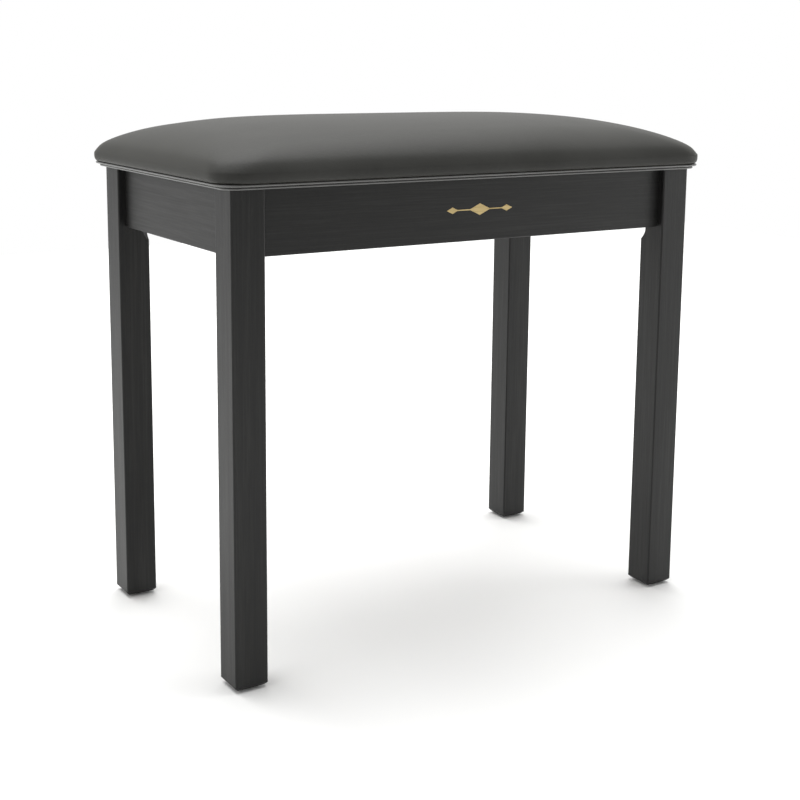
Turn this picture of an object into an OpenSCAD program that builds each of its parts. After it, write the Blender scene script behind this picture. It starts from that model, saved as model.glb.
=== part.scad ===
// Padded bench with four square legs, a shallow apron frame and an upholstered seat.
// The bench stands on the plane z = 0, centred on the Z axis. Its front faces -Y
// and its left side faces -X. All sizes are in millimetres.

/* [Leg frame] */
// Width of the frame over the outside of the legs
frame_w = 516; // [400:1:760]
// Depth of the frame over the outside of the legs
frame_d = 290; // [260:1:420]
// Height of the top of the legs and aprons above the floor
board_underside_h = 447; // [340:1:600]

/* [Legs] */
// Width of each side of a square leg
leg_w = 32; // [30:1:46]
// Radius of the leg's long rounded edges
leg_edge_r = 1.5; // [0.5:0.25:3]
// Height and width of the bevel round the leg's lower end
leg_toe_bevel = 3; // [1:0.5:5]
// Width taken off each inner face by the cut across the leg's inner corner
leg_cut = 7; // [6:0.5:12]
// Length of the flat part of that cut below the apron
leg_cut_below_apron = 3; // [0:0.5:10]
// Radius of the cutter where that cut runs out of the leg
leg_cut_runout_r = 18; // [10:1:40]

/* [Aprons] */
// Height of the aprons
apron_h = 59.5; // [55:0.5:90]
// Thickness of the aprons
apron_t = 15; // [13:0.5:18]
// Distance of the aprons behind the outer faces of the legs
apron_setback = 7.5; // [3:0.5:9]
// Radius of the aprons' lower end corners
apron_corner_r = 3.5; // [1:0.5:8]
// Radius of the aprons' lower long edges
apron_edge_r = 1.5; // [0.5:0.25:3]

/* [Corner brackets] */
// Thickness of the bracket's steel
bracket_t = 2; // [1.5:0.25:3]
// Height of the bracket
bracket_h = 40; // [34:1:44]
// Length of each wing that lies on an apron
bracket_wing = 22; // [18:1:30]
// Distance along the apron from the leg to the bend of the bracket
bracket_bend_from_leg = 28; // [24:1:40]
// Height between the two screws in a wing
bracket_screw_pitch = 22; // [16:1:26]

/* [Hanger bolts] */
// Diameter of the hanger bolt's machine thread
bolt_d = 8; // [6:0.5:10]
// Pitch of the machine thread
bolt_pitch = 1.25; // [1:0.25:2]
// Depth of the machine thread
bolt_thread_depth = 0.7; // [0.4:0.1:1]
// Diameter of the hanger bolt's wood thread
bolt_wood_d = 7; // [5:0.5:9]
// Length of the wood thread that is inside the leg
bolt_wood_l = 27; // [18:1:32]
// Length of bolt that stands out of the nut
bolt_beyond_nut = 5; // [2:0.5:10]
// Outside diameter of the washer
washer_d = 18; // [16:0.5:22]
// Thickness of the washer
washer_t = 1.6; // [1:0.1:2.5]
// Width across the flats of the nut
nut_flats = 13; // [11:0.5:17]
// Height of the nut
nut_h = 6.5; // [5:0.5:9]
// Gap between the bolt and the holes it passes through, all round
bolt_gap = 0.3; // [0.1:0.05:0.6]

/* [Wood screws] */
// Diameter of a screw's shank
screw_d = 4; // [3:0.25:5]
// Diameter of a screw's head
screw_head_d = 7.6; // [6:0.2:9]
// Height of a screw's head
screw_head_h = 2.2; // [1.6:0.1:3]
// Length of a bracket screw
bracket_screw_l = 14; // [12:1:15]
// Depth to which the cleat screws enter the apron
cleat_screw_grip = 11; // [8:0.5:12]
// Depth to which the seat screws enter the seat board
seat_screw_grip = 7.5; // [5:0.5:8]
// Depth to which the cushion screws enter the cushion's base panel
cushion_screw_grip = 7; // [5:0.5:7.5]
// Distance of the outer cushion screws to the left and right of the middle
cushion_screw_x = 150; // [80:1:155]
// Distance of the cushion screws to the front and rear of the middle
cushion_screw_y = 55; // [30:1:80]
// Gap between a screw and its hole, all round
screw_gap = 0.1; // [0.05:0.05:0.3]

/* [Seat cleats] */
// Width of a cleat, measured from the apron
cleat_w = 18; // [16:1:26]
// Height of a cleat
cleat_h = 20; // [18:1:30]
// Gap between a cleat's end and the bracket's wing
cleat_end_gap = 4; // [1:0.5:10]
// Distance of a cleat's outermost screws from its ends
cleat_screw_inset = 14; // [12:1:24]

/* [Seat board] */
// Distance that the seat board's lip stands out beyond the legs
board_overhang = 12; // [8:0.5:20]
// Radius of the lip's corners
board_corner_r = 20; // [12:1:32]
// Thickness of the lip
board_lip_t = 2.2; // [1.6:0.1:4]
// Distance that the bead below the lip stands out beyond the legs
board_bead_overhang = 7.5; // [2:0.5:8]
// Radius of the bead's corners
board_bead_corner_r = 14; // [5:0.5:16]
// Thickness of the bead
board_bead_t = 2; // [1.4:0.1:4]
// Thickness of the groove between the bead and the lip
board_groove_t = 0.8; // [0.6:0.1:3]
// Depth of that groove, measured from the bead
board_groove_depth = 1.5; // [1:0.25:4]
// Thickness of the middle that drops between the aprons
board_drop = 5; // [4:0.5:7]
// Gap between that middle and the aprons and legs, all round
board_drop_gap = 0.5; // [0.2:0.1:1.5]

/* [Cushion] */
// Distance that the cushion bulges beyond the seat board's lip
cushion_bulge = 3; // [0:0.5:5]
// Height of the cushion at its middle
cushion_h = 47; // [40:1:60]
// Height of the crown along the cushion's length
cushion_crown_x = 14; // [6:0.5:15]
// Height of the crown across the cushion's depth
cushion_crown_y = 12; // [6:0.5:15]
// Radius of the cushion's upper edges
cushion_shoulder_r = 22; // [14:1:23]
// Radius of the cushion's corners
cushion_corner_r = 28; // [24:1:40]
// Thickness of the vinyl cover
cover_t = 1.2; // [0.8:0.1:2]
// Width of the cover's margin turned under the base panel
cover_margin = 32; // [24:1:45]
// Thickness of the plywood base panel
base_t = 9; // [8:0.5:12]
// Thickness of the foam that wraps the base panel's edge
base_edge_foam = 5; // [4:0.5:8]
// Gap between the cover and what it holds, all round
cover_gap = 0.2; // [0.1:0.05:0.5]

/* [Staples] */
// Width of a staple's crown
staple_w = 10; // [6:1:13]
// Thickness of the staple wire
staple_wire = 0.7; // [0.5:0.1:1]
// Depth of a staple's legs in the base panel
staple_l = 6; // [4:0.5:7]
// Largest distance between two staples
staple_pitch = 48; // [30:1:80]
// Gap between a staple and its slot, all round
staple_gap = 0.05; // [0.02:0.01:0.1]

/* [Foot glides] */
// Diameter of a foot glide
glide_d = 18; // [14:1:22]
// Height of a foot glide
glide_h = 2; // [1.75:0.25:4]
// Width of the bevel round the glide's lower edge
glide_bevel = 0.75; // [0.25:0.25:1.25]
// Diameter of the glide's nail
glide_nail_d = 2.6; // [2:0.1:3.5]
// Length of the glide's nail
glide_nail_l = 18; // [12:1:26]
// Diameter of the nail's head
glide_nail_head_d = 6; // [5:0.25:8]
// Thickness of the nail's head
glide_nail_head_t = 0.8; // [0.5:0.1:0.9]
// Depth of the recess that the nail's head lies in
glide_recess = 1.2; // [1.1:0.1:1.4]

/* [Inlay] */
// Distance of the inlay's middle to the right of the apron's middle
inlay_x = 2; // [-120:1:120]
// Length of the inlay's middle lozenge
inlay_mid_l = 24; // [12:1:30]
// Length of the inlay's outer lozenges
inlay_side_l = 13; // [6:1:18]
// Height of the middle lozenge
inlay_mid_h = 11; // [5:0.5:14]
// Height of the outer lozenges
inlay_side_h = 6; // [3:0.5:10]
// Distance from the middle lozenge to an outer one, middle to middle
inlay_side_x = 31; // [26:1:44]
// Width of the line that joins the lozenges
inlay_line_w = 1; // [0.6:0.1:2]
// Thickness of the inlay
inlay_t = 1.2; // [0.6:0.1:2]
// Height of the inlay above the apron's face
inlay_proud = 0.2; // [0.1:0.05:0.4]

/* [Hidden] */
$fn = 96;

STAIN = "#2b2b2b";
BARE_WOOD = "#c9a878";
PLY = "#d2b48c";
ZINC = "#b9bec4";
VINYL = "#3a3a38";
FOAM = "#e8dfb8";
PLASTIC = "#1c1c1c";
BRASS = "#b8923f";

// Length by which one solid is carried past another where the two are cut or joined
past = 1;
// Side of a corner: -1 is left or front, 1 is right or rear
corners = [[-1, -1], [1, -1], [-1, 1], [1, 1]];

// Aprons, measured from the leg's outer corner
apron_inner = apron_setback + apron_t;
apron_bottom = board_underside_h - apron_h;

// Bracket, measured from the leg's outer corner
bracket_bend = leg_w + bracket_bend_from_leg;
bracket_end = bracket_bend + bracket_wing;
bracket_z = apron_bottom + (apron_h - board_drop) / 2;
screw_x = bracket_bend + bracket_wing / 2 + bracket_t / 2;

// Hanger bolt, measured from the leg's outer corner along the diagonal
leg_cut_u = (2 * leg_w - leg_cut) / sqrt(2);
web_u = (bracket_bend + apron_inner) / sqrt(2);
washer_u = web_u + bracket_t;
nut_u = washer_u + washer_t;
bolt_tip_u = nut_u + nut_h + bolt_beyond_nut;

// Cleats
cleat_long = frame_w - 2 * (bracket_end + cleat_end_gap);
cleat_short = frame_d - 2 * (bracket_end + cleat_end_gap);
cleat_bottom = board_underside_h - board_drop - cleat_h;

// Seat board
board_w = frame_w + 2 * board_overhang;
board_d = frame_d + 2 * board_overhang;
board_bottom = board_underside_h - board_drop;
board_groove_z = board_underside_h + board_bead_t;
board_lip_z = board_groove_z + board_groove_t;
board_top = board_lip_z + board_lip_t;

// Cushion
cushion_w = board_w + 2 * cushion_bulge;
cushion_d = board_d + 2 * cushion_bulge;
base_bottom = board_top + cover_t + cover_gap;
base_top = base_bottom + base_t;
cushion_screw_l = base_bottom - board_bottom + cushion_screw_grip;
base_edge_inset = cover_t + cover_gap + base_edge_foam;
base_w = cushion_w - 2 * base_edge_inset;
base_d = cushion_d - 2 * base_edge_inset;
base_corner_r = cushion_corner_r - base_edge_inset;
cover_hole_w = cushion_w - 2 * cover_margin;
cover_hole_d = cushion_d - 2 * cover_margin;

// Middle of the turned margin, where the staples go
staple_line_w = cushion_w - cover_margin;
staple_line_d = cushion_d - cover_margin;

// ---- Helpers ----

// Puts a corner's piece in place; its own origin is the leg's outer corner, with
// x and y pointing towards the middle of the bench
module at_corner(c) {
    translate([c[0] * frame_w / 2, c[1] * frame_d / 2, 0])
        mirror([c[0] > 0 ? 1 : 0, 0, 0])
            mirror([0, c[1] > 0 ? 1 : 0, 0])
                children();
}

// Turns a piece built along +X to run along the corner's diagonal, at height z
module on_diagonal(z) {
    translate([0, 0, z]) rotate([0, 0, 45]) children();
}

// Rounded rectangle centred on the origin
module round_rect(w, d, r) {
    square([w - 2 * r, d], center = true);
    square([w, d - 2 * r], center = true);
    for (x = [-1, 1], y = [-1, 1])
        translate([x * (w / 2 - r), y * (d / 2 - r)]) circle(r);
}

// Flat slab with rounded corners
module slab(w, d, r, z, t) {
    translate([0, 0, z]) linear_extrude(t) round_rect(w, d, r);
}

// Cylinder along +X
module rod_x(d, l) {
    rotate([0, 90, 0]) cylinder(d = d, h = l);
}

// Screw along +Z with its head below z = 0 and a cross recess in the head
module screw(l) {
    cylinder(d = screw_d, h = l - screw_d / 2, $fn = 32);
    translate([0, 0, l - screw_d / 2])
        cylinder(d1 = screw_d, d2 = screw_d / 4, h = screw_d / 2, $fn = 32);
    difference() {
        intersection() {
            translate([0, 0, -screw_head_h]) cylinder(d = screw_head_d, h = screw_head_h, $fn = 48);
            translate([0, 0, screw_head_d - screw_head_h]) sphere(r = screw_head_d, $fn = 48);
        }
        for (a = [0, 90])
            rotate([0, 0, a])
                translate([-screw_head_d / 4, -screw_head_h / 6, -screw_head_h - past])
                    cube([screw_head_d / 2, screw_head_h / 3, past + screw_head_h / 2]);
    }
}

// Hole for a screw's shank, from below its head to just past its point
module screw_hole(l) {
    translate([0, 0, -past]) cylinder(d = screw_d + 2 * screw_gap, h = l + past + 2 * screw_gap, $fn = 32);
}

// ---- Legs ----

// Upright outline of a leg with its lower corners bevelled
module leg_side_outline() {
    polygon([
        [0, board_underside_h],
        [0, glide_h + leg_toe_bevel],
        [leg_toe_bevel, glide_h],
        [leg_w - leg_toe_bevel, glide_h],
        [leg_w, glide_h + leg_toe_bevel],
        [leg_w, board_underside_h]
    ]);
}

// Cutter for the leg's inner corner: a flat across the corner with a round run-out
module leg_corner_cutter() {
    flat_z = apron_bottom - leg_cut_below_apron;
    on_diagonal(0) {
        translate([leg_cut_u, -leg_cut, flat_z])
            cube([leg_cut, 2 * leg_cut, board_underside_h - flat_z + past]);
        translate([leg_cut_u + leg_cut_runout_r, -leg_cut, flat_z])
            rotate([-90, 0, 0]) cylinder(r = leg_cut_runout_r, h = 2 * leg_cut);
    }
}

module leg(c) {
    color(STAIN) at_corner(c) difference() {
        intersection() {
            translate([leg_w / 2, leg_w / 2, 0])
                linear_extrude(board_underside_h) round_rect(leg_w, leg_w, leg_edge_r);
            translate([0, leg_w, 0]) rotate([90, 0, 0])
                linear_extrude(leg_w) leg_side_outline();
            rotate([90, 0, 90]) linear_extrude(leg_w) leg_side_outline();
        }
        leg_corner_cutter();
        on_diagonal(bracket_z)
            translate([leg_cut_u - bolt_wood_l - screw_gap, 0, 0])
                rod_x(bolt_wood_d + 2 * screw_gap, bolt_wood_l + leg_cut);
        translate([leg_w / 2, leg_w / 2, 0])
            cylinder(d = glide_nail_d + 2 * screw_gap, h = glide_nail_l + glide_recess, $fn = 32);
    }
}

// ---- Aprons ----

// Apron outline: length l, with rounded lower corners, its top at the board's underside
module apron_outline(l) {
    translate([-l / 2, apron_bottom + apron_corner_r]) square([l, apron_h - apron_corner_r]);
    translate([-l / 2 + apron_corner_r, apron_bottom]) square([l - 2 * apron_corner_r, apron_h]);
    for (x = [-1, 1])
        translate([x * (l / 2 - apron_corner_r), apron_bottom + apron_corner_r])
            circle(apron_corner_r);
}

// Section across an apron, with its lower edges rounded
module apron_section() {
    translate([0, apron_bottom + apron_edge_r]) square([apron_t, apron_h - apron_edge_r]);
    translate([apron_edge_r, apron_bottom]) square([apron_t - 2 * apron_edge_r, apron_h]);
    for (x = [apron_edge_r, apron_t - apron_edge_r])
        translate([x, apron_bottom + apron_edge_r]) circle(apron_edge_r);
}

// Apron along X: its outer face is at -Y, at distance half_span from the middle
module apron_board(l, half_span) {
    translate([0, -half_span + apron_setback, 0]) intersection() {
        translate([0, apron_t, 0]) rotate([90, 0, 0]) linear_extrude(apron_t) apron_outline(l);
        translate([-l / 2, 0, 0]) rotate([90, 0, 90]) linear_extrude(l) apron_section();
    }
}

// Holes for the bracket screws; the frame is frame_l long on this side
module bracket_screw_holes(frame_l, half_span) {
    for (s = [-1, 1], k = [-1, 1])
        translate([
            s * (frame_l / 2 - screw_x),
            -half_span + apron_inner + bracket_t,
            bracket_z + k * bracket_screw_pitch / 2
        ]) rotate([90, 0, 0]) screw_hole(bracket_screw_l);
}

// Drilled apron as it lies along X; those on the short sides are turned from there
module apron_blank(frame_l, frame_across, cleat_l) {
    difference() {
        apron_board(frame_l - 2 * leg_w, frame_across / 2);
        bracket_screw_holes(frame_l, frame_across / 2);
        cleat_screw_row(cleat_l, frame_across / 2) screw_hole(cleat_w + cleat_screw_grip);
    }
}

module apron_front() {
    color(STAIN) difference() {
        apron_blank(frame_w, frame_d, cleat_long);
        inlay_shape();
    }
}

module apron_rear() {
    color(STAIN) rotate([0, 0, 180]) apron_blank(frame_w, frame_d, cleat_long);
}

module apron_left() {
    color(STAIN) rotate([0, 0, -90]) apron_blank(frame_d, frame_w, cleat_short);
}

module apron_right() {
    color(STAIN) rotate([0, 0, 90]) apron_blank(frame_d, frame_w, cleat_short);
}

// ---- Corner brackets and their fixings ----

// Plan of the bent strip: wing, diagonal web, wing
module bracket_plan() {
    mitre = bracket_t * tan(22.5);
    polygon([
        [bracket_end, apron_inner],
        [bracket_bend, apron_inner],
        [apron_inner, bracket_bend],
        [apron_inner, bracket_end],
        [apron_inner + bracket_t, bracket_end],
        [apron_inner + bracket_t, bracket_bend + mitre],
        [bracket_bend + mitre, apron_inner + bracket_t],
        [bracket_end, apron_inner + bracket_t]
    ]);
}

module bracket(c) {
    color(ZINC) at_corner(c) difference() {
        translate([0, 0, bracket_z - bracket_h / 2]) linear_extrude(bracket_h) bracket_plan();
        on_diagonal(bracket_z)
            translate([web_u - past, 0, 0]) rod_x(bolt_d + 2 * bolt_gap, bracket_t + 2 * past);
        wing_screws() screw_hole(bracket_screw_l);
    }
}

// Places its child at the four screws of one bracket, head on the wing
module wing_screws() {
    for (k = [-1, 1]) {
        translate([screw_x, apron_inner + bracket_t, bracket_z + k * bracket_screw_pitch / 2])
            rotate([90, 0, 0]) children();
        translate([apron_inner + bracket_t, screw_x, bracket_z + k * bracket_screw_pitch / 2])
            rotate([0, -90, 0]) children();
    }
}

module bracket_screws() {
    color(ZINC) for (c = corners) at_corner(c) wing_screws() screw(bracket_screw_l);
}

// Outline of the machine-threaded part, to be turned about the bolt's axis
module thread_outline(l) {
    turns = floor(l / bolt_pitch);
    crest = bolt_d / 2;
    root = crest - bolt_thread_depth;
    polygon(concat(
        [[0, 0], [root, 0]],
        [for (i = [0 : turns - 1], e = [0.25, 0.5, 0.75, 1])
            [e == 0.5 || e == 0.75 ? crest : root, (i + e) * bolt_pitch]],
        [[root, l], [0, l]]
    ));
}

module hanger_bolts() {
    thread_l = bolt_tip_u - leg_cut_u;
    point_l = bolt_wood_d / 2;
    color(ZINC) for (c = corners) at_corner(c) on_diagonal(bracket_z) {
        translate([leg_cut_u - bolt_wood_l, 0, 0]) rotate([0, 90, 0]) {
            cylinder(d1 = bolt_wood_d / 4, d2 = bolt_wood_d, h = point_l);
            translate([0, 0, point_l]) cylinder(d = bolt_wood_d, h = bolt_wood_l - point_l);
        }
        translate([leg_cut_u, 0, 0]) rotate([0, 90, 0])
            rotate_extrude() thread_outline(thread_l);
    }
}

module hanger_washers() {
    color(ZINC) for (c = corners) at_corner(c) on_diagonal(bracket_z)
        translate([washer_u, 0, 0]) difference() {
            rod_x(washer_d, washer_t);
            translate([-past, 0, 0]) rod_x(bolt_d + 2 * bolt_gap, washer_t + 2 * past);
        }
}

module hanger_nuts() {
    color(ZINC) for (c = corners) at_corner(c) on_diagonal(bracket_z)
        translate([nut_u, 0, 0]) difference() {
            rotate([0, 90, 0]) cylinder(d = nut_flats / cos(30), h = nut_h, $fn = 6);
            translate([-past, 0, 0]) rod_x(bolt_d + 2 * screw_gap, nut_h + 2 * past);
        }
}

// ---- Seat cleats and their screws ----

// Screw places along a cleat of length l: its two ends and its middle
function cleat_places(l) = [for (s = [-1, 0, 1]) s * (l / 2 - cleat_screw_inset)];

// Horizontal screws through a cleat into its apron
module cleat_screw_row(l, half_span) {
    for (x = cleat_places(l))
        translate([x, -half_span + apron_inner + cleat_w, cleat_bottom + cleat_h / 2])
            rotate([90, 0, 0]) children();
}

// Upright screws through a cleat into the seat board, halfway from its middle to its ends
module seat_screw_row(l, half_span) {
    for (x = [-l / 4, l / 4])
        translate([x, -half_span + apron_inner + cleat_w / 2, cleat_bottom]) children();
}

module cleat(l, half_span) {
    difference() {
        translate([-l / 2, -half_span + apron_inner, cleat_bottom]) cube([l, cleat_w, cleat_h]);
        cleat_screw_row(l, half_span) screw_hole(cleat_w + cleat_screw_grip);
        seat_screw_row(l, half_span) screw_hole(cleat_h + seat_screw_grip);
    }
}

module cleat_front() {
    color(BARE_WOOD) cleat(cleat_long, frame_d / 2);
}

module cleat_rear() {
    color(BARE_WOOD) rotate([0, 0, 180]) cleat(cleat_long, frame_d / 2);
}

module cleat_left() {
    color(BARE_WOOD) rotate([0, 0, -90]) cleat(cleat_short, frame_w / 2);
}

module cleat_right() {
    color(BARE_WOOD) rotate([0, 0, 90]) cleat(cleat_short, frame_w / 2);
}

// Runs its child for each of the four sides: child 0 on the long ones, child 1 on the short
module on_four_sides() {
    for (a = [0, 180]) rotate([0, 0, a]) children(0);
    for (a = [-90, 90]) rotate([0, 0, a]) children(1);
}

module cleat_screws() {
    color(ZINC) on_four_sides() {
        cleat_screw_row(cleat_long, frame_d / 2) screw(cleat_w + cleat_screw_grip);
        cleat_screw_row(cleat_short, frame_w / 2) screw(cleat_w + cleat_screw_grip);
    }
}

module seat_screws() {
    color(ZINC) on_four_sides() {
        seat_screw_row(cleat_long, frame_d / 2) screw(cleat_h + seat_screw_grip);
        seat_screw_row(cleat_short, frame_w / 2) screw(cleat_h + seat_screw_grip);
    }
}

// ---- Seat board ----

// Half of a disc, on the side of +X
module half_disc(d) {
    intersection() {
        circle(d = d, $fn = 32);
        translate([0, -d / 2]) square(d);
    }
}

// Slab with a half-round edge all round
module round_edged_slab(w, d, r, z, t) {
    slab(w - t, d - t, r - t / 2, z, t);
    translate([0, 0, z + t / 2]) {
        for (a = [0, 180]) rotate([0, 0, a]) {
            translate([(w - t) / 2, d / 2 - r, 0])
                rotate([90, 0, 0]) linear_extrude(d - 2 * r) half_disc(t);
            translate([w / 2 - r, d / 2 - r, 0])
                rotate_extrude(angle = 90) translate([r - t / 2, 0]) half_disc(t);
        }
        for (a = [90, 270]) rotate([0, 0, a]) {
            translate([(d - t) / 2, w / 2 - r, 0])
                rotate([90, 0, 0]) linear_extrude(w - 2 * r) half_disc(t);
            translate([d / 2 - r, w / 2 - r, 0])
                rotate_extrude(angle = 90) translate([r - t / 2, 0]) half_disc(t);
        }
    }
}

// Middle of the seat board that drops between the aprons and clears the legs
module board_drop_slab() {
    clear_apron = 2 * (apron_inner + board_drop_gap);
    clear_leg = 2 * (leg_w + board_drop_gap);
    translate([0, 0, board_bottom + board_drop / 2]) {
        cube([frame_w - clear_apron, frame_d - clear_leg, board_drop], center = true);
        cube([frame_w - clear_leg, frame_d - clear_apron, board_drop], center = true);
    }
}

module seat_board() {
    bead_w = frame_w + 2 * board_bead_overhang;
    bead_d = frame_d + 2 * board_bead_overhang;
    color(STAIN) difference() {
        union() {
            board_drop_slab();
            round_edged_slab(
                bead_w, bead_d, board_bead_corner_r, board_underside_h, board_bead_t
            );
            slab(
                bead_w - 2 * board_groove_depth, bead_d - 2 * board_groove_depth,
                board_bead_corner_r - board_groove_depth / 2, board_groove_z, board_groove_t
            );
            round_edged_slab(board_w, board_d, board_corner_r, board_lip_z, board_lip_t);
        }
        on_four_sides() {
            seat_screw_row(cleat_long, frame_d / 2) screw_hole(cleat_h + seat_screw_grip);
            seat_screw_row(cleat_short, frame_w / 2) screw_hole(cleat_h + seat_screw_grip);
        }
        cushion_screw_places() screw_hole(cushion_screw_l);
    }
}

// Two rows of three screws up through the board
module cushion_screw_places() {
    for (x = [-1, 0, 1], y = [-1, 1])
        translate([x * cushion_screw_x, y * cushion_screw_y, board_bottom]) children();
}

module cushion_screws() {
    color(ZINC) cushion_screw_places() screw(cushion_screw_l);
}

// ---- Cushion ----

// Points of an arc about c with radius r, from angle a0 to a1 in n steps
function arc(c, r, a0, a1, n) =
    [for (i = [0 : n]) let (a = a0 + (a1 - a0) * i / n) [c[0] + r * cos(a), c[1] + r * sin(a)]];

// Upright outline of the cushion: length w, height h. Each shoulder's arc touches the
// upright side and runs on smoothly into the long arc of the crown.
module crowned_outline(w, h, crown, shoulder) {
    crown_r = (w * w / 4 + crown * crown) / (2 * crown);
    shoulder_x = w / 2 - shoulder;
    rise = sqrt(pow(crown_r - shoulder, 2) - shoulder_x * shoulder_x);
    shoulder_z = h - crown_r + rise;
    join = atan2(rise, shoulder_x);
    polygon(concat(
        [[-w / 2, 0], [w / 2, 0]],
        arc([shoulder_x, shoulder_z], shoulder, 0, join, 8),
        arc([0, h - crown_r], crown_r, join, 180 - join, 24),
        arc([-shoulder_x, shoulder_z], shoulder, 180 - join, 180, 8)
    ));
}

// Crowned pad with its flat bottom at z = 0
module crowned_pad(w, d, r, h, shoulder) {
    intersection() {
        linear_extrude(h) round_rect(w, d, r);
        translate([0, d / 2, 0]) rotate([90, 0, 0])
            linear_extrude(d) crowned_outline(w, h, cushion_crown_x, shoulder);
        translate([-w / 2, 0, 0]) rotate([90, 0, 90])
            linear_extrude(w) crowned_outline(d, h, cushion_crown_y, shoulder);
    }
}

// Everything inside the cover
module cover_inside() {
    translate([0, 0, board_top + cover_t])
        crowned_pad(
            cushion_w - 2 * cover_t, cushion_d - 2 * cover_t, cushion_corner_r - cover_t,
            cushion_h - 2 * cover_t, cushion_shoulder_r - cover_t
        );
}

module cushion_cover() {
    color(VINYL) difference() {
        translate([0, 0, board_top])
            crowned_pad(cushion_w, cushion_d, cushion_corner_r, cushion_h, cushion_shoulder_r);
        cover_inside();
        slab(cover_hole_w, cover_hole_d, cushion_corner_r, board_top - past, cover_t + 2 * past);
        staple_places() staple(staple_gap);
    }
}

module cushion_foam() {
    inset = cover_t + cover_gap;
    color(FOAM) difference() {
        translate([0, 0, board_top + inset])
            crowned_pad(
                cushion_w - 2 * inset, cushion_d - 2 * inset, cushion_corner_r - inset,
                cushion_h - 2 * inset, cushion_shoulder_r - inset
            );
        slab(
            base_w + 2 * cover_gap, base_d + 2 * cover_gap, base_corner_r + cover_gap,
            board_top, base_top - board_top
        );
    }
}

module cushion_base() {
    color(PLY) difference() {
        slab(base_w, base_d, base_corner_r, base_bottom, base_t);
        cushion_screw_places() screw_hole(cushion_screw_l);
        staple_places() staple(staple_gap);
    }
}

// Staple with its crown flush in the cover's underside; gap widens it into its own slot
module staple(gap) {
    crown_z = board_top - (gap > 0 ? past : 0);
    translate([-staple_w / 2 - gap, -staple_wire / 2 - gap, crown_z])
        cube([staple_w + 2 * gap, staple_wire + 2 * gap, board_top - crown_z + staple_wire + gap]);
    for (x = [-staple_w / 2, staple_w / 2 - staple_wire])
        translate([x - gap, -staple_wire / 2 - gap, board_top])
            cube([staple_wire + 2 * gap, staple_wire + 2 * gap, base_bottom - board_top + staple_l + gap]);
}

// Evenly spaced places along a line of length l, no further apart than the staple pitch
function staple_row(l) =
    let (n = ceil(l / staple_pitch))
    [for (i = [0 : n]) -l / 2 + i * l / n];

// Staples along the middle of the turned margin, clear of the corners' pleats
module staple_places() {
    long_run = staple_line_w - 2 * cushion_corner_r;
    short_run = staple_line_d - 2 * cushion_corner_r;
    for (s = [-1, 1]) {
        for (x = staple_row(long_run))
            translate([x, s * staple_line_d / 2, 0]) children();
        for (y = staple_row(short_run))
            translate([s * staple_line_w / 2, y, 0]) rotate([0, 0, 90]) children();
    }
}

module cover_staples() {
    color(ZINC) staple_places() staple(0);
}

// ---- Foot glides ----

module glide(c) {
    color(PLASTIC) at_corner(c) translate([leg_w / 2, leg_w / 2, 0]) difference() {
        union() {
            cylinder(d1 = glide_d - 2 * glide_bevel, d2 = glide_d, h = glide_bevel);
            translate([0, 0, glide_bevel]) cylinder(d = glide_d, h = glide_h - glide_bevel);
        }
        translate([0, 0, -past])
            cylinder(d = glide_nail_head_d + 4 * screw_gap, h = glide_recess + past, $fn = 48);
        cylinder(d = glide_nail_d + 2 * screw_gap, h = glide_h + past, $fn = 32);
    }
}

module glide_nails() {
    head_z = glide_recess - glide_nail_head_t;
    point_l = glide_nail_d;
    color(ZINC) for (c = corners) at_corner(c) translate([leg_w / 2, leg_w / 2, head_z]) {
        cylinder(d = glide_nail_head_d, h = glide_nail_head_t, $fn = 48);
        cylinder(d = glide_nail_d, h = glide_nail_l - point_l, $fn = 32);
        translate([0, 0, glide_nail_l - point_l])
            cylinder(d1 = glide_nail_d, d2 = glide_nail_d / 6, h = point_l, $fn = 32);
    }
}

// ---- Inlay ----

// Lozenge centred on x
module lozenge(x, l, h) {
    translate([x, 0]) polygon([[-l / 2, 0], [0, -h / 2], [l / 2, 0], [0, h / 2]]);
}

// Row of three lozenges on a thin line, let into the front apron
module inlay_shape() {
    face_y = -frame_d / 2 + apron_setback;
    translate([inlay_x, face_y - inlay_proud + inlay_t, apron_bottom + apron_h / 2])
        rotate([90, 0, 0]) linear_extrude(inlay_t) {
            lozenge(0, inlay_mid_l, inlay_mid_h);
            for (s = [-1, 1]) lozenge(s * inlay_side_x, inlay_side_l, inlay_side_h);
            square([2 * inlay_side_x, inlay_line_w], center = true);
        }
}

module apron_inlay() {
    color(BRASS) inlay_shape();
}

leg(corners[0]);  // leg_front_left
leg(corners[1]);  // leg_front_right
leg(corners[2]);  // leg_rear_left
leg(corners[3]);  // leg_rear_right
apron_front();
apron_rear();
apron_left();
apron_right();
bracket(corners[0]);  // bracket_front_left
bracket(corners[1]);  // bracket_front_right
bracket(corners[2]);  // bracket_rear_left
bracket(corners[3]);  // bracket_rear_right
hanger_bolts();
hanger_washers();
hanger_nuts();
bracket_screws();
cleat_front();
cleat_rear();
cleat_left();
cleat_right();
cleat_screws();
seat_screws();
seat_board();
cushion_screws();
cushion_base();
cushion_foam();
cushion_cover();
cover_staples();
glide(corners[0]);  // glide_front_left
glide(corners[1]);  // glide_front_right
glide(corners[2]);  // glide_rear_left
glide(corners[3]);  // glide_rear_right
glide_nails();
apron_inlay();
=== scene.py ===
"""Looks of the padded bench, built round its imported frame.

The leg frame, board, brackets and fasteners are the CAD nodes with finished materials. The
foam pad and the vinyl cushion are new surfaces worked out here.
"""
import math

import bmesh
import bpy
import numpy as np
from mathutils import Matrix, Vector


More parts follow.
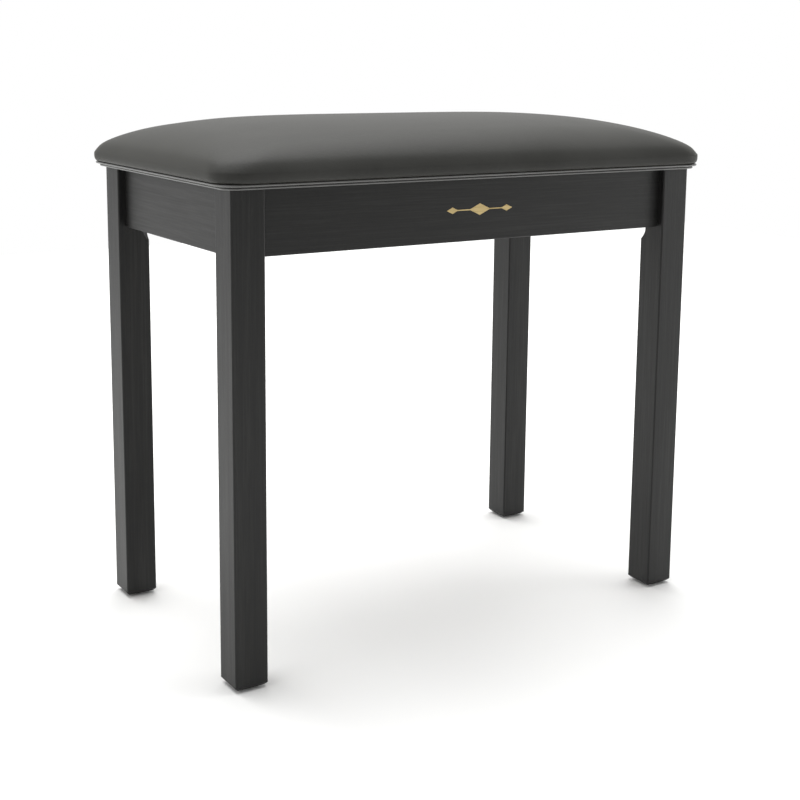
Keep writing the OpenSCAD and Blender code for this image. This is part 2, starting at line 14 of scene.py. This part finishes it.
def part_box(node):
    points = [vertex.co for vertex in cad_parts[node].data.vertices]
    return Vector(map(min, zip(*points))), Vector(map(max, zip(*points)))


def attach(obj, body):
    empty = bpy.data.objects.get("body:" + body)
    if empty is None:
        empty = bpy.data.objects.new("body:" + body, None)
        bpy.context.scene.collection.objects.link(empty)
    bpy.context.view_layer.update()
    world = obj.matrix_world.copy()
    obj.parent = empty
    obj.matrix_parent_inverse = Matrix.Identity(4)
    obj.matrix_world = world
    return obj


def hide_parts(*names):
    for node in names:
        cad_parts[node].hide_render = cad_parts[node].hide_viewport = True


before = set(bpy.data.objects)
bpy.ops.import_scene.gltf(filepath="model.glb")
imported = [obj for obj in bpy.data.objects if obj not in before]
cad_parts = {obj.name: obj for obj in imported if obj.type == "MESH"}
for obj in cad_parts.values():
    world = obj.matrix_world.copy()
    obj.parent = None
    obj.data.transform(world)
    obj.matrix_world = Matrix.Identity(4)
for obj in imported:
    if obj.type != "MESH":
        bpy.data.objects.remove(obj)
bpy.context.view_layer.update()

MM = 0.001
BODY = "root"


# ---- Materials ----

def linear(hex_colour):
    """sRGB hex colour to linear RGBA."""
    parts = [int(hex_colour[i:i + 2], 16) / 255 for i in (1, 3, 5)]
    curve = [c / 12.92 if c <= 0.04045 else ((c + 0.055) / 1.055) ** 2.4 for c in parts]
    return (*curve, 1.0)


def add(tree, kind, settings=None, **inputs):
    """Adds a node. settings are its own values; inputs are values or sockets for its inputs."""
    made = tree.nodes.new(kind)
    for name, value in (settings or {}).items():
        setattr(made, name, value)
    for name, value in inputs.items():
        key = int(name[1:]) if name[0] == "_" else name.replace("__", " ")
        if isinstance(value, bpy.types.NodeSocket):
            tree.links.new(value, made.inputs[key])
        else:
            made.inputs[key].default_value = value
    return made


def ramp(tree, factor, stops):
    """Colour ramp through (position, hex) stops."""
    made = add(tree, "ShaderNodeValToRGB", Fac=factor)
    points = made.color_ramp.elements
    points[0].position, points[0].color = stops[0][0], linear(stops[0][1])
    points[1].position, points[1].color = stops[-1][0], linear(stops[-1][1])
    for position, colour in stops[1:-1]:
        points.new(position).color = linear(colour)
    return made.outputs["Color"]


def level(tree, value, low, high):
    """A 0-1 value stretched to low-high."""
    return add(
        tree, "ShaderNodeMapRange", Value=value, To__Min=low, To__Max=high
    ).outputs["Result"]


def start_material(name):
    """New material: returns it, its node tree and its Principled shader."""
    material = bpy.data.materials.new(name)
    material.use_nodes = True
    tree = material.node_tree
    return material, tree, tree.nodes["Principled BSDF"]


def finish_material(tree, shader, colour, roughness, height=None, depth=0.0, **fixed):
    """Links the varying values, sets the even ones, and adds a bump depth metres deep."""
    for name, value in (("Base Color", colour), ("Roughness", roughness)):
        if isinstance(value, bpy.types.NodeSocket):
            tree.links.new(value, shader.inputs[name])
        else:
            shader.inputs[name].default_value = value
    for name, value in fixed.items():
        shader.inputs[name.replace("__", " ")].default_value = value
    if height is not None:
        bump = add(tree, "ShaderNodeBump", Strength=1.0, Distance=depth, Height=height)
        tree.links.new(bump.outputs["Normal"], shader.inputs["Normal"])


def stretched_coords(tree, lengths_mm):
    """Object coordinates with one unit per given length along X, Y and Z."""
    coords = add(tree, "ShaderNodeTexCoord").outputs["Object"]
    scale = [1 / (length * MM) for length in lengths_mm]
    return add(tree, "ShaderNodeMapping", Vector=coords, Scale=scale).outputs["Vector"]


def along(axis, length_mm, across_mm):
    """Pattern lengths with the long one along the named axis."""
    return [length_mm if name == axis else across_mm for name in "XYZ"]


def black_stained_beech(axis):
    """Beech stained black under a satin lacquer: almost even, with fine long fibres that show
    as faint lighter streaks and short open pores that the thin lacquer doesn't fill."""
    material, tree, shader = start_material(f"black_stained_beech_along_{axis.lower()}")
    fibres = add(
        tree, "ShaderNodeTexNoise", Vector=stretched_coords(tree, along(axis, 70, 1.6)),
        Scale=1.0, Detail=5.0, Roughness=0.62, Distortion=0.25
    ).outputs["Fac"]
    figure = add(
        tree, "ShaderNodeTexNoise", Vector=stretched_coords(tree, along(axis, 260, 11)),
        Scale=1.0, Detail=3.0, Roughness=0.5, Distortion=0.6
    ).outputs["Fac"]
    pores = add(
        tree, "ShaderNodeTexNoise", Vector=stretched_coords(tree, along(axis, 9, 0.6)),
        Scale=1.0, Detail=2.0, Roughness=0.5
    ).outputs["Fac"]
    grain = add(
        tree, "ShaderNodeMix", {"data_type": "FLOAT"}, _0=0.38, _2=fibres, _3=figure
    ).outputs[0]
    sharp = add(
        tree, "ShaderNodeMapRange", Value=grain, From__Min=0.36, From__Max=0.64
    ).outputs["Result"]
    pits = add(
        tree, "ShaderNodeMapRange", Value=pores, From__Min=0.30, From__Max=0.44
    ).outputs["Result"]
    height = add(
        tree, "ShaderNodeMath", {"operation": "MULTIPLY_ADD"}, _0=sharp, _1=0.4, _2=pits
    ).outputs[0]
    colour = ramp(tree, sharp, [(0.0, "#131313"), (0.5, "#191918"), (1.0, "#222221")])
    finish_material(
        tree, shader, colour, level(tree, sharp, 0.47, 0.41), height, 0.00003,
        IOR=1.5, Specular__IOR__Level=0.32
    )
    return material


def lacquered_board_painted_highlight():
    """Fibreboard moulding sprayed with the same black satin lacquer: no grain, a very slight
    orange peel about 12 mm across. Its colour is a mid grey, lighter than the black lacquer,
    as a painted highlight so that the thin bead edges read bright."""
    material, tree, shader = start_material("black_lacquered_fibreboard_painted_highlight")
    peel = add(
        tree, "ShaderNodeTexNoise", Vector=stretched_coords(tree, (12, 12, 12)),
        Scale=1.0, Detail=2.0, Roughness=0.5
    ).outputs["Fac"]
    # painted highlight: the board is mid grey instead of black so its beads look lit; the small
    # spread between the two greys is the orange peel
    colour = ramp(tree, peel, [(0.3, "#4e4e4c"), (0.7, "#545452")])
    finish_material(
        tree, shader, colour, level(tree, peel, 0.32, 0.38), peel, 0.00002,
        IOR=1.5, Specular__IOR__Level=1.0
    )
    return material


def black_leathercloth():
    """Vinyl leathercloth on a knitted back, embossed with a fine pebble grain about 1.3 mm
    across: matt satin, a touch olive where the light lies on it."""
    material, tree, shader = start_material("black_vinyl_leathercloth")
    warped = add(
        tree, "ShaderNodeTexNoise", Vector=stretched_coords(tree, (2.2, 2.2, 2.2)),
        Scale=1.0, Detail=2.0
    ).outputs["Color"]
    place = add(
        tree, "ShaderNodeMix", {"data_type": "VECTOR"}, _0=0.22,
        _4=stretched_coords(tree, (1.3, 1.3, 1.3)), _5=warped
    ).outputs[1]
    cells = add(
        tree, "ShaderNodeTexVoronoi", {"feature": "SMOOTH_F1"}, Vector=place, Scale=1.0,
        Smoothness=0.5
    ).outputs["Distance"]
    pebbles = add(
        tree, "ShaderNodeMapRange", Value=cells, From__Min=0.15, From__Max=0.75,
        To__Min=1.0, To__Max=0.0
    ).outputs["Result"]
    mottling = add(
        tree, "ShaderNodeTexNoise", Vector=stretched_coords(tree, (60, 60, 60)),
        Scale=1.0, Detail=3.0, Roughness=0.5
    ).outputs["Fac"]
    colour = ramp(tree, mottling, [(0.3, "#333331"), (0.7, "#3a3a38")])
    finish_material(
        tree, shader, colour, level(tree, mottling, 0.44, 0.52), pebbles, 0.00006,
        IOR=1.45, Specular__IOR__Level=0.14, Sheen__Weight=0.05, Sheen__Roughness=0.5,
        Sheen__Tint=linear("#c9c8b0")
    )
    return material


def planed_pine():
    """Unfinished planed softwood: pale, with broad soft growth bands and finer lines."""
    material, tree, shader = start_material("planed_pine")
    bands = add(
        tree, "ShaderNodeTexNoise", Vector=stretched_coords(tree, (90, 90, 5)),
        Scale=1.0, Detail=4.0, Roughness=0.55, Distortion=0.4
    ).outputs["Fac"]
    colour = ramp(tree, bands, [(0.32, "#a97f4f"), (0.5, "#cfa872"), (0.68, "#dcc08f")])
    finish_material(tree, shader, colour, level(tree, bands, 0.75, 0.62), bands, 0.0001)
    return material


def birch_plywood():
    """Sanded birch plywood: pale faces and thin darker glue lines every 1.5 mm at its edge."""
    material, tree, shader = start_material("birch_plywood")
    ply, radians_per_unit = 1.5 * MM, 20
    coords = add(tree, "ShaderNodeTexCoord").outputs["Object"]
    plies = add(
        tree, "ShaderNodeTexWave", {"bands_direction": "Z"}, Vector=coords,
        Scale=2 * math.pi / (ply * radians_per_unit)
    ).outputs["Fac"]
    figure = add(
        tree, "ShaderNodeTexNoise", Vector=stretched_coords(tree, (120, 9, 9)),
        Scale=1.0, Detail=4.0, Roughness=0.55, Distortion=0.8
    ).outputs["Fac"]
    blend = add(
        tree, "ShaderNodeMix", {"data_type": "FLOAT"}, _0=0.75, _2=plies, _3=figure
    ).outputs[0]
    colour = ramp(tree, blend, [(0.2, "#a5804f"), (0.5, "#d2b185"), (0.8, "#e0c79e")])
    finish_material(tree, shader, colour, 0.7, figure, 0.00008)
    return material


def zinc_plated_steel():
    """Bright zinc on pressed or turned steel: cool grey with a soft uneven shine."""
    material, tree, shader = start_material("zinc_plated_steel")
    spangle = add(
        tree, "ShaderNodeTexNoise", Vector=stretched_coords(tree, (6, 6, 6)),
        Scale=1.0, Detail=4.0, Roughness=0.6
    ).outputs["Fac"]
    colour = ramp(tree, spangle, [(0.3, "#a3a7ab"), (0.7, "#c4c7c9")])
    finish_material(
        tree, shader, colour, level(tree, spangle, 0.28, 0.46), spangle, 0.00003,
        Metallic=1.0
    )
    return material


def satin_brass():
    """Brass strip brushed lengthwise: warm gold with fine streaks along X."""
    material, tree, shader = start_material("satin_brass")
    brushing = add(
        tree, "ShaderNodeTexNoise", Vector=stretched_coords(tree, (18, 0.35, 0.35)),
        Scale=1.0, Detail=3.0, Roughness=0.6
    ).outputs["Fac"]
    colour = ramp(tree, brushing, [(0.3, "#b39d6c"), (0.7, "#d6c190")])
    finish_material(
        tree, shader, colour, level(tree, brushing, 0.30, 0.45), brushing, 0.00002,
        Metallic=1.0
    )
    return material


def moulded_polythene():
    """Injection-moulded black polythene: waxy matt with a fine sparked texture."""
    material, tree, shader = start_material("moulded_black_polythene")
    spark = add(
        tree, "ShaderNodeTexNoise", Vector=stretched_coords(tree, (0.7, 0.7, 0.7)),
        Scale=1.0, Detail=3.0
    ).outputs["Fac"]
    colour = ramp(tree, spark, [(0.3, "#121212"), (0.7, "#1d1d1d")])
    finish_material(tree, shader, colour, level(tree, spark, 0.5, 0.65), spark, 0.00005)
    return material


def cream_foam():
    """Open-cell polyurethane foam: cream, quite matt, with cells drawn 2 mm across."""
    material, tree, shader = start_material("cream_polyurethane_foam")
    cells = add(
        tree, "ShaderNodeTexVoronoi", Vector=stretched_coords(tree, (2, 2, 2)), Scale=1.0
    ).outputs["Distance"]
    colour = ramp(tree, cells, [(0.0, "#b8a873"), (0.5, "#e3d7a6")])
    finish_material(tree, shader, colour, 0.95, cells, 0.0006)
    return material


def studio_paper():
    """Pale matt background paper."""
    material, tree, shader = start_material("pale_studio_paper")
    fleck = add(
        tree, "ShaderNodeTexNoise", Vector=stretched_coords(tree, (400, 400, 400)),
        Scale=1.0, Detail=2.0
    ).outputs["Fac"]
    colour = ramp(tree, fleck, [(0.3, "#fafaf9"), (0.7, "#fdfdfc")])
    finish_material(tree, shader, colour, 0.9, Specular__IOR__Level=0.1)
    return material


BEECH = {axis: black_stained_beech(axis) for axis in "XYZ"}
BOARD = lacquered_board_painted_highlight()
VINYL = black_leathercloth()
PINE = planed_pine()
PLYWOOD = birch_plywood()
ZINC = zinc_plated_steel()
BRASS = satin_brass()
POLYTHENE = moulded_polythene()
FOAM = cream_foam()

CORNERS = ("front_left", "front_right", "rear_left", "rear_right")
NODE_MATERIAL = {
    **{f"leg_{corner}": BEECH["Z"] for corner in CORNERS},
    **{f"bracket_{corner}": ZINC for corner in CORNERS},
    **{f"glide_{corner}": POLYTHENE for corner in CORNERS},
    "apron_front": BEECH["X"],
    "apron_rear": BEECH["X"],
    "apron_left": BEECH["Y"],
    "apron_right": BEECH["Y"],
    **{f"cleat_{side}": PINE for side in ("front", "rear", "left", "right")},
    **{
        name: ZINC
        for name in (
            "hanger_bolts", "hanger_washers", "hanger_nuts", "bracket_screws",
            "cleat_screws", "seat_screws", "cushion_screws", "cover_staples", "glide_nails",
        )
    },
    "seat_board": BOARD,
    "cushion_base": PLYWOOD,
    "apron_inlay": BRASS,
}
for node_name, node_material in NODE_MATERIAL.items():
    node_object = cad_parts[node_name]
    node_object.data.materials.clear()
    node_object.data.materials.append(node_material)


# ---- Making pieces ----

def new_piece(name, points, faces, material, replaced):
    """Makes a smooth-shaded mesh object that rides on the bench and replaces a CAD node."""
    mesh = bpy.data.meshes.new(name)
    mesh.from_pydata(points.tolist(), [], faces.tolist())
    mesh.update()
    mesh.materials.append(material)
    mesh.shade_smooth()
    piece = bpy.data.objects.new(name, mesh)
    bpy.context.scene.collection.objects.link(piece)
    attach(piece, BODY)
    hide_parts(replaced)
    return piece


def round_rect_loop(position, half_x, half_y, radius):
    """Points on a rounded rectangle, anticlockwise.

    position runs from 0 to 4, one unit a side, each side starting at the middle of its
    corner. Within a side, distance along the edge is in proportion to position: half an
    arc, a straight and half an arc. All inputs are arrays of one shape.
    """
    side = np.minimum(np.floor(position), 3).astype(int)
    fraction = position - side
    along_x = side % 2 == 0
    half_run = np.where(along_x, half_x, half_y)
    half_across = np.where(along_x, half_y, half_x)
    straight = half_run - radius
    arc = radius * math.pi / 4
    distance = (fraction - 0.5) * 2 * (straight + arc)
    beyond = np.clip(np.abs(distance) - straight, 0, None)
    angle = np.where(radius > 0, beyond / np.maximum(radius, 1e-9), 0)
    run = np.where(
        np.abs(distance) <= straight, distance,
        np.sign(distance) * (straight + radius * np.sin(angle))
    )
    across = -half_across + radius * (1 - np.cos(angle))
    turn = side * math.pi / 2
    return (
        run * np.cos(turn) - across * np.sin(turn),
        run * np.sin(turn) + across * np.cos(turn),
    )


# ---- Cushion ----

COVER_LOW, COVER_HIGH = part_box("cushion_cover")
HALF_X, HALF_Y = COVER_HIGH.x, COVER_HIGH.y
SEAT = COVER_LOW.z
CUSHION_R = 28 * MM  # corner radius in plan, at the widest
LEAST_R = 4 * MM  # corner radius of the margin turned under
CORNER_GROWTH = 0.45  # how fast the corners get rounder, going in over the dome
CELL = 4 * MM  # spacing of the grid over the dome
RIDGE = 9 * MM  # height of the dome's foot above the board
DOME_RUN = 50 * MM  # distance in from the edge over which the dome climbs
FULLNESS = 1.9  # power of the climb's superellipse
CROWN = 19 * MM  # rise of the crown over the shoulders
END_POWER, SIDE_POWER = 4.5, 2.4
DOME_TOP = 47 * MM
COVER_T = 1.2 * MM
SWELL_CAP = 1.5 * MM  # furthest that the simulation may move the skin
LAST_FRAME = 20
EVENING_ROUNDS = 60
FOAM_SINK = 4 * MM  # how far the foam's dome lies inside the cover
CLEAR = 0.2 * MM  # gap between the foam and the panel


def dome_height(x, y, inset):
    """Height of the cushion's dome above the seat board.

    It climbs from the ridge in a superellipse of the distance in from the edge, and the
    crown adds 1 - |x / half length|^END_POWER times 1 - |y / half width|^SIDE_POWER, so the
    long sides slope up gently and the ends are fuller.
    """
    shoulder = DOME_TOP - CROWN - RIDGE
    share = np.clip(inset / DOME_RUN, 0, 1)
    climb = (1 - (1 - share) ** FULLNESS) ** (1 / FULLNESS)
    lengthwise = np.clip(1 - np.abs(x / HALF_X) ** END_POWER, 0, 1)
    crosswise = np.clip(1 - np.abs(y / HALF_Y) ** SIDE_POWER, 0, 1)
    return RIDGE + shoulder * climb + CROWN * lengthwise * crosswise


def cushion_grid(outer_inset, outer_height, sink=0.0):
    """A grid of quads wrapped over the cushion.

    Rings of the grid are rounded rectangles: the innermost are spaced one cell apart over
    the dome, and the outermost follow the given profile of insets and heights, from the
    dome's foot outwards. sink lowers and shrinks the dome. Returns points, faces,
    the ring of each point, counted from the dome's foot (negative on the profile), and the
    number of points each way. The corner radius grows with the inset over the dome and
    shrinks with it along the profile.
    """
    outer = len(outer_inset)
    inner = int(round((HALF_Y - sink) / CELL))
    cells_y = 2 * inner
    cells_x = cells_y + int(round(2 * (HALF_X - HALF_Y) / CELL))
    nx, ny = cells_x + 2 * outer, cells_y + 2 * outer
    i, j = np.meshgrid(np.arange(nx + 1), np.arange(ny + 1), indexing="ij")
    from_edge = np.minimum.reduce([i, j, nx - i, ny - j])
    ring = from_edge - outer

    span_x, span_y = nx - 2 * from_edge, ny - 2 * from_edge
    u = np.where(span_x > 0, (i - from_edge) / np.maximum(span_x, 1), 0.5)
    v = np.where(span_y > 0, (j - from_edge) / np.maximum(span_y, 1), 0.5)
    south, east, north = j == from_edge, i == nx - from_edge, j == ny - from_edge
    position = np.where(south, u, np.where(east, 1 + v, np.where(north, 3 - u, 4 - v)))
    position = np.clip(position, 0, 4 - 1e-12)

    dome_inset = sink + np.clip(ring, 0, None) * (HALF_Y - sink) / inner
    profile_inset = np.concatenate([outer_inset[::-1], [0]])
    profile_height = np.concatenate([outer_height[::-1], [0]])
    step = np.clip(from_edge, 0, outer)
    on_profile = ring < 0
    inset = np.where(on_profile, profile_inset[step], dome_inset)
    half_x, half_y = HALF_X - inset, np.maximum(HALF_Y - inset, 0)
    tighter = np.maximum(CUSHION_R - inset, LEAST_R)
    rounder = np.minimum(CUSHION_R + CORNER_GROWTH * dome_inset, half_y)
    radius = np.where(on_profile, tighter, rounder)
    x, y = round_rect_loop(position, half_x, half_y, radius)
    z = np.where(on_profile, profile_height[step], dome_height(x, y, dome_inset) - sink)
    points = np.stack([x, y, z + SEAT], -1).reshape(-1, 3)

    a, b = np.meshgrid(np.arange(nx), np.arange(ny), indexing="ij")
    corner = a * (ny + 1) + b
    faces = np.stack([corner, corner + ny + 1, corner + ny + 2, corner + 1], -1)
    return points, faces.reshape(-1, 4), ring.reshape(-1), (nx + 1, ny + 1)


def cover_profile():
    """Insets and heights of the cover below its dome: the soft ridge, the upright band over
    the panel's edge, a small round at the board, and the margin turned under."""
    points = np.array([
        [0.15, 8.2], [0.1, 7.0], [0.15, 5.6], [0.3, 4.2], [0.6, 3.0], [1.1, 1.9], [1.9, 1.0],
        [3.2, 0.4], [6.0, 0.15], [12.0, 0.15], [20.0, 0.15], [28.0, 0.15],
    ]) * MM
    return points[:, 0], points[:, 1]


def smoothed(values, rounds):
    """Averages a grid of values with their four neighbours, over and over."""
    for _ in range(rounds):
        wide = np.pad(values, 1, mode="edge")
        around = wide[:-2, 1:-1] + wide[2:, 1:-1] + wide[1:-1, :-2] + wide[1:-1, 2:]
        values = values / 2 + around / 8
    return values


def inflate(cushion, grid, held):
    """Cloth simulation: blows the cushion's skin up a little while its held points stay.

    Gravity is off and the pressure acts outwards. Only the outward movement is kept, never
    more than SWELL_CAP, and it is evened out over the grid of points, so the result keeps the
    cushion's size, stays clear of the foam and has no sharp creases.
    """
    mesh = cushion.data
    count = len(mesh.vertices)
    before = np.empty(count * 3)
    mesh.vertices.foreach_get("co", before)
    group = cushion.vertex_groups.new(name="held")
    group.add(np.flatnonzero(held).tolist(), 1.0, "REPLACE")
    cloth = cushion.modifiers.new("cloth", "CLOTH")
    settings = cloth.settings
    settings.quality = 6
    settings.mass = 0.4
    settings.tension_stiffness = settings.compression_stiffness = 25
    settings.shear_stiffness = 12
    settings.bending_stiffness = 2.0
    settings.use_pressure = True
    settings.uniform_pressure_force = 4.0
    settings.vertex_group_mass = "held"
    settings.effector_weights.gravity = 0.0
    cloth.collision_settings.use_collision = False
    scene = bpy.context.scene
    for number in range(1, LAST_FRAME + 1):
        scene.frame_set(number)
    posed = cushion.evaluated_get(bpy.context.evaluated_depsgraph_get())
    after = np.empty(count * 3)
    posed.to_mesh().vertices.foreach_get("co", after)
    posed.to_mesh_clear()
    cushion.modifiers.remove(cloth)
    cushion.vertex_groups.remove(group)
    scene.frame_set(1)
    normals = np.empty(count * 3)
    mesh.vertices.foreach_get("normal", normals)
    normals = normals.reshape(-1, 3)
    swell = np.sum((after - before).reshape(-1, 3) * normals, axis=1)
    swell = np.clip(swell, 0, SWELL_CAP).reshape(grid)
    swell = smoothed(swell, EVENING_ROUNDS).reshape(-1, 1)
    mesh.vertices.foreach_set("co", (before.reshape(-1, 3) + swell * normals).reshape(-1))
    mesh.update()


def pleated(points):
    """Small gathers where the cover is drawn round each corner.

    At angle a about the corner's centre the skin moves out by depth sin(pi t) cos(8 pi t),
    with t = a over a right angle, fading with height as exp(-(z / fade)^2).
    """
    depth, fade = 0.45 * MM, 13 * MM
    x, y, z = points.T
    from_x = np.abs(x) - (HALF_X - CUSHION_R)
    from_y = np.abs(y) - (HALF_Y - CUSHION_R)
    at_corner = (from_x > 0) & (from_y > 0)
    t = np.arctan2(from_y, from_x) / (math.pi / 2)
    wave = depth * np.sin(math.pi * t) * np.cos(8 * math.pi * t)
    out = np.where(at_corner, wave * np.exp(-((z - SEAT) / fade) ** 2), 0)
    reach = np.maximum(np.hypot(from_x, from_y), 1e-9)
    moved = points.copy()
    moved[:, 0] += out * np.sign(x) * from_x / reach
    moved[:, 1] += out * np.sign(y) * from_y / reach
    return moved


def make_cushion():
    """Vinyl cushion: the skin over the dome and band, blown up by the simulation, then given
    the thickness of the cover."""
    inset, height = cover_profile()
    points, faces, ring, grid = cushion_grid(inset, height)
    points = pleated(points)
    cushion = new_piece("vinyl_cushion", points, faces, VINYL, "cushion_cover")
    inflate(cushion, grid, ring <= -1)
    shell = cushion.modifiers.new("cover thickness", "SOLIDIFY")
    shell.thickness = COVER_T
    shell.offset = -1
    smooth = cushion.modifiers.new("smooth", "SUBSURF")
    smooth.levels = smooth.render_levels = 1
    return cushion


def make_foam():
    """Foam pad: the dome drawn 4 mm inside the cover, with an upright side down past the
    panel's edge and a closed flat underside resting on the panel."""
    _, panel_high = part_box("cushion_base")
    panel_top = panel_high.z - SEAT + CLEAR
    profile = np.array([
        [3.0, 9.0], [3.0, 6.0], [3.2, 4.0], [3.8, 3.0], [4.8, 2.6], [5.8, 3.0],
    ]) * MM
    step_in = HALF_X - panel_high.x - CLEAR
    inset = np.concatenate([profile[:, 0], [step_in, step_in, step_in + 20 * MM]])
    height = np.concatenate([profile[:, 1], [4 * MM, panel_top, panel_top]])
    points, faces, _, _ = cushion_grid(inset, height, FOAM_SINK)
    foam = new_piece("foam_pad", points, faces, FOAM, "cushion_foam")
    close_underside(foam.data)
    return foam


def close_underside(mesh):
    """Fills the one open loop of a mesh with a flat face."""
    edit = bmesh.new()
    edit.from_mesh(mesh)
    rim = [edge for edge in edit.edges if edge.is_boundary]
    for face in bmesh.ops.contextual_create(edit, geom=rim)["faces"]:
        face.smooth = False
    bmesh.ops.recalc_face_normals(edit, faces=edit.faces)
    edit.to_mesh(mesh)
    edit.free()


make_cushion()
make_foam()


# ---- Floor, light and camera ----

def make_floor():
    """Flat pale floor, 5.2 m square."""
    half = 5.2 / 2
    points = np.array([[-half, -half, 0], [half, -half, 0], [half, half, 0], [-half, half, 0]])
    mesh = bpy.data.meshes.new("studio_floor")
    mesh.from_pydata(points.tolist(), [], [[0, 1, 2, 3]])
    mesh.materials.append(studio_paper())
    floor = bpy.data.objects.new("studio_floor", mesh)
    bpy.context.scene.collection.objects.link(floor)


def softbox(name, place, size, power, target=(0, 0, 0.35)):
    """Square area light at place, turned towards target."""
    data = bpy.data.lights.new(name, "AREA")
    data.shape = "SQUARE"
    data.size = size
    data.energy = power
    lamp = bpy.data.objects.new(name, data)
    lamp.location = place
    toward = Vector(target) - Vector(place)
    lamp.rotation_euler = toward.to_track_quat("-Z", "Y").to_euler()
    bpy.context.scene.collection.objects.link(lamp)


def make_world():
    """White studio surroundings that light the bench less from the front, at -Y. The backdrop
    itself is seen white from every side."""
    world = bpy.data.worlds.new("studio")
    world.use_nodes = True
    tree = world.node_tree
    direction = add(tree, "ShaderNodeTexCoord").outputs["Generated"]
    forward = add(tree, "ShaderNodeSeparateXYZ", Vector=direction).outputs["Y"]
    strength = add(
        tree, "ShaderNodeMapRange", Value=forward, From__Min=-1.0, From__Max=0.0,
        To__Min=0.1, To__Max=1.0
    ).outputs["Result"]
    seen = add(tree, "ShaderNodeLightPath").outputs["Is Camera Ray"]
    shown = add(
        tree, "ShaderNodeMix", {"data_type": "FLOAT"}, _0=seen, _2=strength, _3=1.0
    ).outputs[0]
    background = tree.nodes["Background"]
    background.inputs["Color"].default_value = linear("#ffffff")
    tree.links.new(shown, background.inputs["Strength"])
    bpy.context.scene.world = world


def make_camera():
    """Camera at the front left, a little above the seat, with a slight roll."""
    yaw, pitch, roll = 0.5650, 0.1650, 0.0094
    data = bpy.data.cameras.new("camera")
    data.sensor_width = 36.0
    data.lens = 62.23
    data.shift_y = -0.1437
    camera = bpy.data.objects.new("camera", data)
    turn = (
        Matrix.Rotation(-yaw, 4, "Z")
        @ Matrix.Rotation(math.pi / 2 - pitch, 4, "X")
        @ Matrix.Rotation(roll, 4, "Z")
    )
    camera.matrix_world = Matrix.Translation((-0.7515, -1.1876, 0.5592)) @ turn
    bpy.context.scene.collection.objects.link(camera)
    bpy.context.scene.camera = camera


make_floor()
make_world()
softbox("fill_right", (2.9, -1.5, 0.5), 0.9, 16)
softbox("overhead", (0.2, 1.0, 3.8), 4.0, 170)
make_camera()
bpy.context.scene.view_settings.view_transform = "Standard"

bpy.context.view_layer.update()
